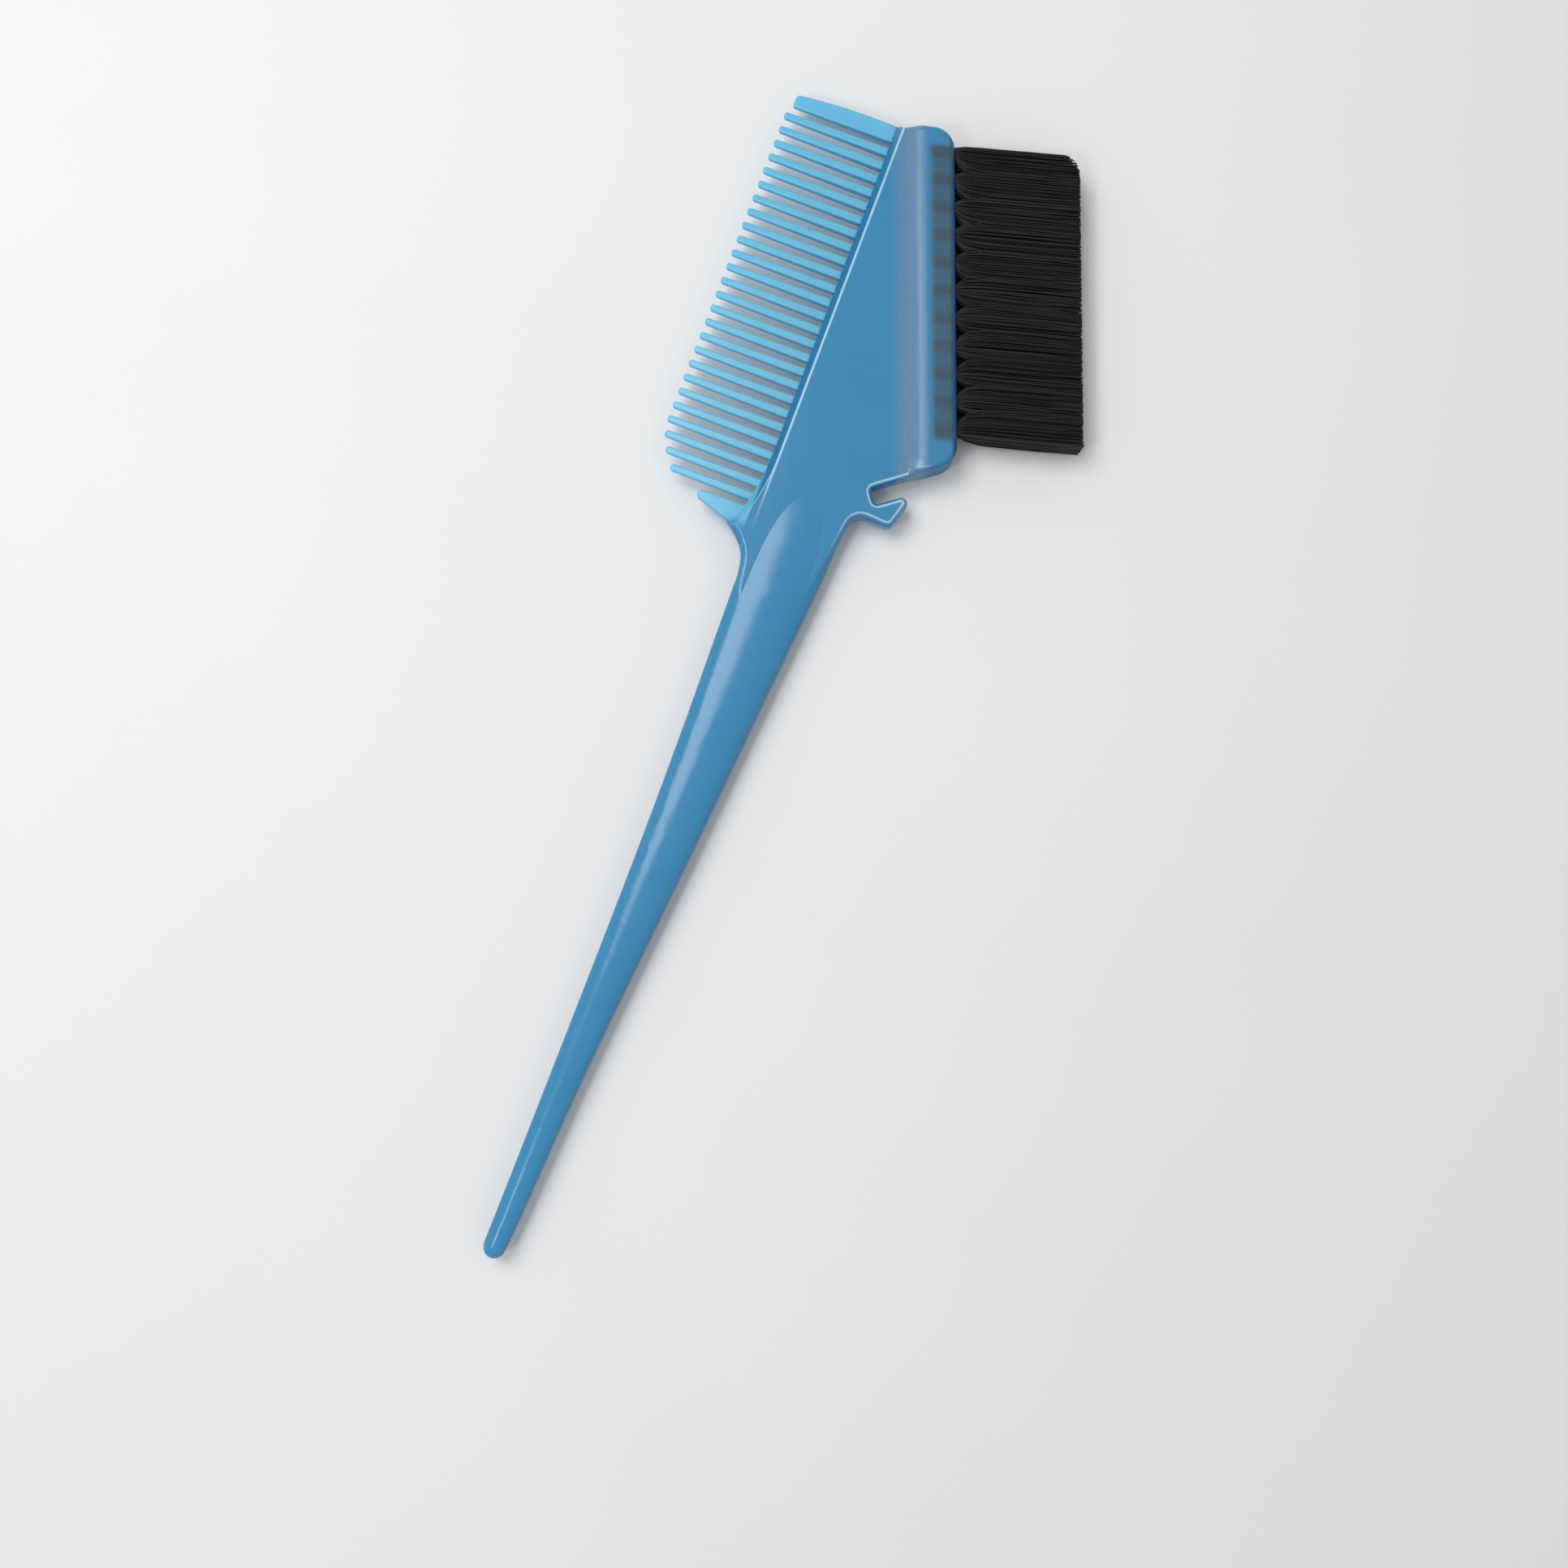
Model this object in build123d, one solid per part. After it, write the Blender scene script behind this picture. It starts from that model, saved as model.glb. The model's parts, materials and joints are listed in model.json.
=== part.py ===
from build123d import *

import os
from math import cos, radians, sin, tan

# A tint brush for hair colouring. One moulded body carries a comb, a hook and a tapered tail handle, and
# two staggered rows of bristle tufts are set in the slanted side of its head. Each tuft is folded round a
# flat-wire anchor at the bottom of its own blind hole.
#
# Drawing frame: the tail's tip at the origin, +Y along the handle towards the head, +X towards the
# bristles, and z = 0 in the middle of the thickness. At the end all pieces move together: the origin
# becomes the middle of the whole brush's footprint, with the back of the head on z = 0. Sizes are in
# millimetres.

# ---- Handle -------------------------------------------------------------------------------------------
HANDLE_LENGTH = 137.0      # tail's tip to the spur at the foot of the comb
TAIL_ROUND = 2.2           # length of the tail's rounded end
TAIL_ANGLES = (8, 22, 40, 62)    # sections of that end, as angles round its curve from the tip
HANDLE_POWER = 2.3         # roundness of the handle's sections: 2 is an ellipse, more is squarer
SECTION_POINTS = 24
SEAM_TURN = 90.0           # puts the seam of the handle's surface on its crown, clear of the head's walls
# From the tail to the neck: share of the handle's length, left edge, right edge and thickness.
HANDLE_SECTIONS = (
    (0.00, -2.6, 1.5, 3.6),
    (0.17, -2.3, 3.0, 3.9),
    (0.39, -2.0, 5.4, 4.6),
    (0.61, -1.9, 8.1, 5.2),
    (0.82, -2.3, 10.5, 5.6),
    (0.95, -2.6, 12.0, 5.4),
)
NECK_FADE = 13.0           # how far past the spur the handle's crown takes to sink into the head
NECK_END = (-2.2, 12.4, 3.6)     # left edge, right edge and thickness there, inside the head

# ---- Head ---------------------------------------------------------------------------------------------
PLATE_THICKNESS = 4.2
BLOCK_THICKNESS = 7.6      # along the bristles, where the tufts are set
BLOCK_WIDTH = 5.3          # full-thickness band along the bristle edge
BLOCK_RAMP = 4.6           # slope from that band down to the plate
RAMP_SINK = 0.5            # the slope runs on this far under the plate's face
RAMP_FALL = 0.3            # and is this steep where it ends
EDGE_ANGLE = 20.6          # bristle edge to the handle's direction, degrees
EDGE_TOP_X = 6.75          # bristle edge at the height of the comb's upper end, from the tail's axis
CREST_ANGLE = 13.2         # rise of the head's upper edge, degrees
CREST_ROUND = 4.2
HEEL_ROUND = 4.0           # corner between the bristle edge and the hook
RIM_ROUND = 1.2            # rounding of the head's rims
COMB_BEVEL = 1.3           # flat bevel down to the comb
BEVEL_ROUND = 0.25         # soft corner along the top of that bevel
UPRIGHT = 0.01             # largest upward share of a wall's direction that still counts as upright
FLAT = 0.9                 # smallest upward share of a face's direction that still counts as flat

# ---- Hook ---------------------------------------------------------------------------------------------
HOOK_X = 16.5              # middle of the slot's closed end
HOOK_RISE = 14.3           # that point above the spur
HOOK_ANGLE = 37.0          # slot to the +X direction, degrees
HOOK_GAP = 2.9
PRONG_LENGTH = 6.6         # along the slot, from its closed end to the prong's corner
PRONG_HEEL_X = 20.3        # lower corner of the prong
PRONG_HEEL_RISE = 9.1
PRONG_TIP_ROUND = 1.1
PRONG_HEEL_ROUND = 1.5
BAY_ROUND = 2.5            # inner corner between the prong and the neck
BAY_RISE = 0.4             # the prong's lower edge climbs this much towards the neck
NECK_RIGHT = 13.3          # neck's right edge beside that corner
SLOT_ROUND = 0.7           # corners of the slot's closed end
TONGUE_LENGTH = 18.0       # how far the head's plate reaches down inside the neck
TONGUE_LEFT = 0.0
TONGUE_RIGHT = 9.5

# ---- Comb ---------------------------------------------------------------------------------------------
TOOTH_COUNT = 26           # between the guard tooth and the end tooth
TOOTH_PITCH = 2.745
TOOTH_GAP = 1.17           # at the roots
FIRST_TOOTH_RISE = 6.0     # first tooth above the spur
TIP_NARROWING = 0.3        # how much narrower a tooth is at its tip
ROOT_X = -4.3              # line of the roots
COMB_REACH = 20.2          # roots to tips
SHORT_TEETH = (3.6, 1.7, 0.5)    # how much shorter the lowest teeth are
END_TOOTH_WIDTH = 3.0
END_TOOTH_DROP = 0.6       # slope of its outer edge, root to tip
END_TOOTH_SHORT = 0.9
END_TOOTH_BULGE = 0.5      # how far its outer edge swells past a straight line
GUARD_REACH = 10.2         # roots to the guard tooth's tip
GUARD_TIP_WIDTH = 1.5
GUARD_TIP_ROUND = 0.6
COMB_ROOT_THICKNESS = 1.9
COMB_TIP_THICKNESS = 1.1
TOOTH_ROUND = 0.3
TIP_FULLNESS = 0.9         # how nearly a tooth's tip is a half circle
BAR_END_X = -2.0           # where the teeth end inside the head's plate
GUARD_FOOT = 1.5           # the guard tooth's lower edge meets the head this far below the spur
END_TIP_ROUND = 0.9
SPUR_REACH = 3.5           # spur's tip beyond the line of the roots
SPUR_RISE = 16.0           # from the spur's tip up to where its edge joins that line
SPUR_HOLLOW = (-5.5, 5.0)  # the edge's lowest curve on the way: its x, and its height above the spur
NECK_FLARE = ((-2.3, -10.0), (-3.5, -4.2))    # the neck's left edge widening to the spur, in the same way

# ---- Tufts and anchors --------------------------------------------------------------------------------
FRONT_TUFTS = 11
BACK_TUFTS = FRONT_TUFTS - 1
TUFT_PITCH = 5.12
FIRST_TUFT = 4.1           # along the bristle edge, from the head's upper corner
HOLE_DIAMETER = 2.6
HOLE_DEPTH = 4.6
ROW_PITCH = 2.9            # between the two rows, through the head's thickness
BRISTLE_ANGLE = 15.5       # bristles to the +X direction, degrees
BRISTLE_LENGTH = 22.9      # out of the head
TUFT_CLEARANCE = 0.04      # round the tuft in its hole, and between neighbouring tufts
TUFT_NECK = 0.2            # round part of a tuft outside its hole
TUFT_CORNER = 0.8
ROOT_FULLNESS = 0.98       # how nearly a tuft is round where it starts to fan out
ANCHOR_THICKNESS = 0.35
ANCHOR_HEIGHT = 1.5        # along the hole
ANCHOR_BITE = 0.2          # how far each end of the anchor cuts into the wall of the hole

# ---- Worked out from the values above -----------------------------------------------------------------
HALF_GAP = TOOTH_GAP / 2
TOOTH_WIDTH = TOOTH_PITCH - TOOTH_GAP
TIP_X = ROOT_X - COMB_REACH
FIRST_TOOTH = HANDLE_LENGTH + FIRST_TOOTH_RISE
LAST_GAP = FIRST_TOOTH + (TOOTH_COUNT - 0.5) * TOOTH_PITCH
COMB_TOP = LAST_GAP + HALF_GAP + END_TOOTH_WIDTH
GUARD_TOP = FIRST_TOOTH - TOOTH_PITCH / 2 - HALF_GAP
HOLE_RADIUS = HOLE_DIAMETER / 2
EDGE_REACH = FIRST_TUFT + (FRONT_TUFTS - 1) * TUFT_PITCH
EDGE_ALONG = Vector(sin(radians(EDGE_ANGLE)), -cos(radians(EDGE_ANGLE)))
EDGE_OUT = Vector(cos(radians(EDGE_ANGLE)), sin(radians(EDGE_ANGLE)))
CREST_ALONG = Vector(cos(radians(CREST_ANGLE)), sin(radians(CREST_ANGLE)))
HOOK_ALONG = Vector(cos(radians(HOOK_ANGLE)), sin(radians(HOOK_ANGLE)))
HOOK_ACROSS = Vector(-sin(radians(HOOK_ANGLE)), cos(radians(HOOK_ANGLE)))
BRISTLE_OUT = Vector(cos(radians(BRISTLE_ANGLE)), sin(radians(BRISTLE_ANGLE)))
HOOK_END = Vector(HOOK_X, HANDLE_LENGTH + HOOK_RISE)
CREST_START = Vector(ROOT_X, COMB_TOP)
SLOT_BOTTOM = HOOK_END - HOOK_ALONG * (HOOK_GAP / 2)
UPPER_WALL = SLOT_BOTTOM + HOOK_ACROSS * (HOOK_GAP / 2)
LOWER_WALL = SLOT_BOTTOM - HOOK_ACROSS * (HOOK_GAP / 2)


def crossing(point, along, other_point, other_along):
    """The point where two lines in the drawing plane cross."""
    turn = along.X * other_along.Y - along.Y * other_along.X
    gap = other_point - point
    return point + along * ((gap.X * other_along.Y - gap.Y * other_along.X) / turn)


EDGE_START = crossing(CREST_START, CREST_ALONG, Vector(EDGE_TOP_X, COMB_TOP), EDGE_ALONG)
HEEL = crossing(EDGE_START, EDGE_ALONG, UPPER_WALL, HOOK_ALONG)


def edge_point(distance):
    """A point on the bristle edge, at a distance from the head's upper corner."""
    return EDGE_START + EDGE_ALONG * distance


# ---- Body ---------------------------------------------------------------------------------------------
def head_outline():
    """Outline of the head: comb side, crest, bristle edge, hook slot, prong and the tongue in the neck."""
    prong_tip = LOWER_WALL + HOOK_ALONG * (PRONG_LENGTH + HOOK_GAP / 2)
    prong_heel = Vector(PRONG_HEEL_X, HANDLE_LENGTH + PRONG_HEEL_RISE)
    bay = Vector(NECK_RIGHT, HANDLE_LENGTH + PRONG_HEEL_RISE + BAY_RISE)
    tongue_right = Vector(TONGUE_RIGHT, HANDLE_LENGTH - TONGUE_LENGTH)
    tongue_left = Vector(TONGUE_LEFT, HANDLE_LENGTH - TONGUE_LENGTH)
    spur = Vector(ROOT_X - SPUR_REACH, HANDLE_LENGTH)
    spur_end = Vector(ROOT_X, HANDLE_LENGTH + SPUR_RISE)
    right_side = FilletPolyline(
        CREST_START, EDGE_START, HEEL, UPPER_WALL, LOWER_WALL, prong_tip, prong_heel, bay, tongue_right,
        radius=[CREST_ROUND, HEEL_ROUND, SLOT_ROUND, SLOT_ROUND, PRONG_TIP_ROUND, PRONG_HEEL_ROUND, BAY_ROUND],
    )
    bottom = Line(tongue_right, tongue_left)
    flare = Spline(
        tongue_left, *[(x, HANDLE_LENGTH + rise) for x, rise in NECK_FLARE], spur,
        tangents=((-0.1, 1), (-0.85, 0.5)),
    )
    hollow_x, hollow_rise = SPUR_HOLLOW
    spur_edge = Spline(spur, (hollow_x, HANDLE_LENGTH + hollow_rise), spur_end, tangents=((0.7, 0.7), (0, 1)))
    comb_side = Line(spur_end, CREST_START)
    return make_face([right_side, bottom, flare, spur_edge, comb_side])


def bristle_block():
    """The thick band along the bristle edge, with a soft slope down to the plate on both faces."""
    top = BLOCK_THICKNESS / 2
    low = PLATE_THICKNESS / 2 - RAMP_SINK
    outer = -BLOCK_WIDTH
    inner = BLOCK_WIDTH + BLOCK_RAMP
    slope = Spline((BLOCK_WIDTH, top), (inner, low), tangents=((1, 0), (1, -RAMP_FALL)))
    back_slope = Spline((inner, -low), (BLOCK_WIDTH, -top), tangents=((-1, -RAMP_FALL), (-1, 0)))
    section = make_face([
        Line((outer, top), (BLOCK_WIDTH, top)),
        slope,
        Line((inner, low), (inner, -low)),
        back_slope,
        Line((BLOCK_WIDTH, -top), (outer, -top)),
        Line((outer, -top), (outer, top)),
    ])
    start = edge_point(-2 * CREST_ROUND)
    across = Plane(origin=(start.X, start.Y, 0), x_dir=-EDGE_OUT, z_dir=EDGE_ALONG)
    slant = inner * tan(radians(HOOK_ANGLE - EDGE_ANGLE))
    length = (HEEL - start).length + slant + HOOK_GAP / 2
    band = extrude(across * section, length)
    return band & extrude(head_outline(), BLOCK_THICKNESS, both=True)


def face_rims(solid):
    """Every edge between a solid's upright walls and its two faces, but not the tongue's buried end."""
    walls = solid.faces().filter_by(lambda face: abs(face.normal_at().Z) < UPRIGHT)
    rims = walls.edges().filter_by(lambda edge: abs(edge.center().Z) > PLATE_THICKNESS / 2 - UPRIGHT)
    return rims.filter_by(lambda edge: edge.center().Y > HANDLE_LENGTH - TONGUE_LENGTH + UPRIGHT)


def plate():
    """The head's plate: a flat bevel down to the comb, and every other rim rounded."""
    blank = extrude(head_outline(), PLATE_THICKNESS / 2, both=True)
    comb_side = face_rims(blank).filter_by(lambda edge: edge.center().X < ROOT_X + UPRIGHT)
    bevelled = chamfer(comb_side, COMB_BEVEL)
    rounded = fillet(face_rims(bevelled), RIM_ROUND)
    faces = rounded.faces().filter_by(lambda face: face.normal_at().Z ** 2 > 1 - UPRIGHT)
    corners = faces.edges().filter_by(lambda edge: edge.center().X < ROOT_X + COMB_BEVEL + UPRIGHT)
    return fillet(corners, BEVEL_ROUND)


def head():
    """The head's plate with its bristle block."""
    block = bristle_block()
    return plate() + fillet(face_rims(block), RIM_ROUND)


def handle_section(along, left, right, thickness, power):
    """One section across the handle: a superellipse, upright at a distance from the tail's tip."""
    half_width = (right - left) / 2
    points = []
    for step in range(SECTION_POINTS):
        turn = radians(360 * step / SECTION_POINTS + SEAM_TURN)
        x = abs(cos(turn)) ** (2 / power) * half_width
        z = abs(sin(turn)) ** (2 / power) * thickness / 2
        points.append((x if cos(turn) > 0 else -x, z if sin(turn) > 0 else -z))
    plane = Plane(origin=((left + right) / 2, along, 0), x_dir=(1, 0, 0), z_dir=(0, 1, 0))
    return plane * make_face(Spline(*points, periodic=True))


def handle():
    """The tapered tail, from its rounded end to where its crown sinks into the head."""
    sections = []
    for share, left, right, thickness in HANDLE_SECTIONS:
        along = TAIL_ROUND + share * (HANDLE_LENGTH - TAIL_ROUND)
        power = HANDLE_POWER if share else 2
        sections.append(handle_section(along, left, right, thickness, power))
    neck_end = handle_section(HANDLE_LENGTH + NECK_FADE, *NECK_END, HANDLE_POWER)
    _, left, right, thickness = HANDLE_SECTIONS[0]
    middle = (left + right) / 2
    half_width = (right - left) / 2
    tip = []
    for angle in TAIL_ANGLES:
        size = sin(radians(angle))
        along = TAIL_ROUND * (1 - cos(radians(angle)))
        width = half_width * size
        tip.append(handle_section(along, middle - width, middle + width, thickness * size, 2))
    return loft([*tip, sections[0]]) + loft([*sections, neck_end])


def comb_bar(corners, tip_rounds, bulge=0):
    """A flat bar of the comb, thinner towards its tip, with soft edges. Its first two corners are its tip's."""
    first, *_, last = corners
    swell = ((first[0] + last[0]) / 2, (first[1] + last[1]) / 2 + bulge)
    closing = ThreePointArc(last, swell, first) if bulge else Line(last, first)
    outline = make_face([Polyline(*corners), closing])
    for corner, radius in zip(corners, tip_rounds):
        outline = fillet(outline.vertices().sort_by_distance(Vector(*corner))[0], radius)
    root = COMB_ROOT_THICKNESS / 2
    tip = COMB_TIP_THICKNESS / 2
    wedge = make_face(Polyline((TIP_X, tip), (BAR_END_X, root), (BAR_END_X, -root), (TIP_X, -tip), close=True))
    bar = extrude(outline, COMB_ROOT_THICKNESS, both=True) & extrude(Plane.XZ * wedge, -2 * COMB_TOP)
    flats = bar.faces().filter_by(lambda face: abs(face.normal_at().Z) > FLAT)
    return fillet(flats.edges().filter_by(lambda edge: edge.center().X < BAR_END_X - UPRIGHT), TOOTH_ROUND)


def comb_tooth(index):
    """One tooth of the row, counted from the guard."""
    along = FIRST_TOOTH + index * TOOTH_PITCH
    reach = TIP_X + (SHORT_TEETH[index] if index < len(SHORT_TEETH) else 0)
    root = TOOTH_WIDTH / 2
    tip = root - TIP_NARROWING / 2
    corners = ((reach, along + tip), (reach, along - tip), (BAR_END_X, along - root), (BAR_END_X, along + root))
    return comb_bar(corners, (tip * TIP_FULLNESS, tip * TIP_FULLNESS))


def comb():
    """The guard tooth, the row of teeth and the broad end tooth."""
    guard_tip = ROOT_X - GUARD_REACH
    guard = comb_bar(
        (
            (guard_tip, GUARD_TOP), (guard_tip, GUARD_TOP - GUARD_TIP_WIDTH),
            (BAR_END_X, HANDLE_LENGTH - GUARD_FOOT), (BAR_END_X, GUARD_TOP),
        ),
        (GUARD_TIP_ROUND, GUARD_TIP_ROUND),
    )
    end_tip = TIP_X + END_TOOTH_SHORT
    end_bottom = COMB_TOP - END_TOOTH_WIDTH
    end = comb_bar(
        (
            (end_tip, COMB_TOP - END_TOOTH_DROP), (end_tip, end_bottom),
            (BAR_END_X, end_bottom), (BAR_END_X, COMB_TOP),
        ),
        (END_TIP_ROUND, END_TIP_ROUND / 2),
        END_TOOTH_BULGE,
    )
    return [guard, *[comb_tooth(index) for index in range(TOOTH_COUNT)], end]


# ---- Tufts and anchors --------------------------------------------------------------------------------
def hole_plane(row_height, distance):
    """At a hole's mouth: z out of the hole, x along the bristle edge and y through the head's thickness."""
    mouth = edge_point(distance)
    return Plane(
        origin=(mouth.X, mouth.Y, row_height),
        x_dir=(-BRISTLE_OUT.Y, BRISTLE_OUT.X, 0),
        z_dir=BRISTLE_OUT,
    )


def anchor(plane):
    """The flat-wire staple that holds a tuft at the bottom of its hole, cut into the wall at both ends."""
    length = HOLE_DIAMETER + 2 * ANCHOR_BITE
    middle = ANCHOR_HEIGHT / 2 - HOLE_DEPTH
    return plane * Pos(0, 0, middle) * Box(length, ANCHOR_THICKNESS, ANCHOR_HEIGHT)


def hole(plane):
    """A tuft's blind hole, open past the bristle edge."""
    length = HOLE_DEPTH + HOLE_DIAMETER
    return plane * Pos(0, 0, length / 2 - HOLE_DEPTH) * Cylinder(HOLE_RADIUS, length)


def tuft(plane, tip_middle, tip_width):
    """One tuft: a round plug folded over its anchor, which fans out to its share of the brush's tips."""
    radius = HOLE_RADIUS - TUFT_CLEARANCE
    depth = HOLE_DEPTH - TUFT_CLEARANCE
    plug = plane * Pos(0, 0, (TUFT_NECK - depth) / 2) * Cylinder(radius, depth + TUFT_NECK)
    root = plane * Pos(0, 0, TUFT_NECK) * RectangleRounded(2 * radius, 2 * radius, radius * ROOT_FULLNESS)
    tip_plane = Plane(origin=tip_middle, x_dir=-EDGE_ALONG, z_dir=EDGE_OUT)
    gap = 2 * TUFT_CLEARANCE
    tip = tip_plane * RectangleRounded(tip_width - gap, ROW_PITCH - gap, TUFT_CORNER)
    return plug + loft([root, tip], ruled=True) - anchor(plane)


def tuft_row(name, count, first, row_height):
    """The holes, tufts and anchors of one row, from the head's upper end down."""
    brush_start = FIRST_TUFT - HOLE_RADIUS
    tip_width = (EDGE_REACH - FIRST_TUFT + HOLE_DIAMETER) / count
    holes = []
    nodes = {}
    for index in range(count):
        plane = hole_plane(row_height, first + index * TUFT_PITCH)
        tip = edge_point(brush_start + (index + 0.5) * tip_width) + BRISTLE_OUT * BRISTLE_LENGTH
        holes.append(hole(plane) + anchor(plane))
        nodes[f"{name}_tuft_{index + 1:02d}"] = tuft(plane, (tip.X, tip.Y, row_height), tip_width)
        nodes[f"{name}_anchor_{index + 1:02d}"] = anchor(plane)
    return holes, nodes


# ---- Assembly -----------------------------------------------------------------------------------------
front_holes, front_nodes = tuft_row("front", FRONT_TUFTS, FIRST_TUFT, ROW_PITCH / 2)
back_holes, back_nodes = tuft_row("back", BACK_TUFTS, FIRST_TUFT + TUFT_PITCH / 2, -ROW_PITCH / 2)

body = head() + handle() + comb() - [*front_holes, *back_holes]
pieces = {"moulded_body": body, **front_nodes, **back_nodes}

footprint = Compound(list(pieces.values())).bounding_box().center()
stand = Pos(-footprint.X, -footprint.Y, BLOCK_THICKNESS / 2)

os.makedirs("parts", exist_ok=True)
for name, piece in pieces.items():
    export_step(stand * piece, f"parts/{name}.step")
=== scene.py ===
import json
import math

import bpy
import numpy as np
from bpy.props import FloatProperty, FloatVectorProperty, IntProperty, PointerProperty
from mathutils import Matrix, Vector

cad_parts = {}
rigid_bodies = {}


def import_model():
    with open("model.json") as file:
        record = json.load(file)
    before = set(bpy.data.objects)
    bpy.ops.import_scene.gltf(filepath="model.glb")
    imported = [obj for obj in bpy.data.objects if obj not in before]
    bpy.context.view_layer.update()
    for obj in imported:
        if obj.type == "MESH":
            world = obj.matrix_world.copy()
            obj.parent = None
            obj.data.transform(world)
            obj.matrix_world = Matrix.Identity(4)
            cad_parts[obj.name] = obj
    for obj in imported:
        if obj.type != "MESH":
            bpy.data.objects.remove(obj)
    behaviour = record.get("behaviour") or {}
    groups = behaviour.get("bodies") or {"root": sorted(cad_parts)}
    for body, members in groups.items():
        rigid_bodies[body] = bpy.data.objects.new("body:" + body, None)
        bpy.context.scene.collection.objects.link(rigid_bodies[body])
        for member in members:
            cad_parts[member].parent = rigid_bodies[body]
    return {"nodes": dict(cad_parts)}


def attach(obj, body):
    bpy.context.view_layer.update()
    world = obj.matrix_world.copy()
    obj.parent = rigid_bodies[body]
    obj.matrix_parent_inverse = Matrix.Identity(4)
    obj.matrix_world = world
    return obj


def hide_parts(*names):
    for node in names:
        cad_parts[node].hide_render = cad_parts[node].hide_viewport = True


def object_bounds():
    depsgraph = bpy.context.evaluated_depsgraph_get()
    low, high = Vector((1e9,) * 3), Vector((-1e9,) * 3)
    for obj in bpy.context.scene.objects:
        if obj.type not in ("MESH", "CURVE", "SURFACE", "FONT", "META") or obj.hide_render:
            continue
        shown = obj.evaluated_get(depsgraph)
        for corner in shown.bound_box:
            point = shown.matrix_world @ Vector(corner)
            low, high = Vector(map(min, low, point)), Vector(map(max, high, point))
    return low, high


bl_info = {
    "name": "Tint Brush with Comb",
    "version": (1, 0, 0),
    "blender": (4, 5, 0),
    "location": "View3D > Sidebar > Tint Brush",
    "description": "Makes a hair tint brush: its translucent body, its wire anchors and its bristle tufts",
    "category": "Object",
}

for leftover in list(bpy.data.objects):
    bpy.data.objects.remove(leftover)
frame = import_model()
CAD_LOW, CAD_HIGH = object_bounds()
MM = 0.001

# ---- The brush's own measures, as its drawing gives them ----------------------------------------------
BODY_NODE = "moulded_body"
ROWS = ("front", "back")
EDGE_ANGLE = math.radians(20.6)        # bristle edge to the handle's direction
BRISTLE_ANGLE = math.radians(15.5)     # bristles to the +X direction
HOLE_RADIUS = 1.3 * MM
HOLE_DEPTH = 4.6 * MM
TUFT_PITCH = 5.12 * MM
BLOCK_WIDTH = 5.3 * MM                 # full-thickness band along the bristle edge
BLOCK_RAMP = 4.6 * MM                  # slope from that band down to the plate
BEVEL = 1.3 * MM                       # flat bevel down to the comb
SHADE_DROP = 0.7 * MM                  # tufts deep in the plastic look this much lower than they stand
TAIL_TO_SPUR = 137.0 * MM              # tail's tip to the spur at the foot of the comb
ROOT_INSET = 20.2 * MM                 # comb's tips to the line of its roots
MIDDLE = (CAD_LOW.z + CAD_HIGH.z) / 2  # height of the body's middle plane
TAIL_X = CAD_LOW.x + 24.5 * MM         # the handle's line, which the tail's tip lies on

EDGE_OUT = Vector((math.cos(EDGE_ANGLE), math.sin(EDGE_ANGLE), 0))
EDGE_UP = Vector((-math.sin(EDGE_ANGLE), math.cos(EDGE_ANGLE), 0))
BRISTLE_OUT = Vector((math.cos(BRISTLE_ANGLE), math.sin(BRISTLE_ANGLE), 0))
BRISTLE_UP = Vector((-math.sin(BRISTLE_ANGLE), math.cos(BRISTLE_ANGLE), 0))


def node_points(node):
    """A CAD node's points, as rows of x, y and z."""
    mesh = frame["nodes"][node].data
    points = np.empty(len(mesh.vertices) * 3)
    mesh.vertices.foreach_get("co", points)
    return points.reshape(-1, 3)


def span(points, direction):
    """Lowest and highest distance of some points along a direction."""
    along = points @ np.array(direction)
    return float(along.min()), float(along.max())


def tuft_nodes(row):
    """The CAD nodes of one row of tufts, from the head's upper end down."""
    return sorted(name for name in frame["nodes"] if name.startswith(f"{row}_tuft_"))


def tuft_measures(node):
    """Where a tuft leaves its hole, and the middle, width and height of its flat of tips."""
    points = node_points(node)
    deepest, _ = span(points, BRISTLE_OUT)
    plug = points[points @ np.array(BRISTLE_OUT) < deepest + HOLE_DEPTH / 2]
    low, high = span(plug, BRISTLE_UP)
    floor, roof = span(plug, (0, 0, 1))
    mouth = BRISTLE_OUT * (deepest + HOLE_DEPTH) + BRISTLE_UP * (low + high) / 2
    mouth.z = (floor + roof) / 2
    _, reach = span(points, EDGE_OUT)
    tips = points[points @ np.array(EDGE_OUT) > reach - HOLE_RADIUS / 10]
    tip_low, tip_high = span(tips, EDGE_UP)
    tip_floor, tip_roof = span(tips, (0, 0, 1))
    tip = EDGE_OUT * reach + EDGE_UP * (tip_low + tip_high) / 2
    tip.z = (tip_floor + tip_roof) / 2
    return {"mouth": mouth, "tip": tip, "width": tip_high - tip_low, "height": tip_roof - tip_floor}


FRONT_MOUTHS = [tuft_measures(node)["mouth"] for node in tuft_nodes("front")]
BACK_MOUTHS = [tuft_measures(node)["mouth"] for node in tuft_nodes("back")]


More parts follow.
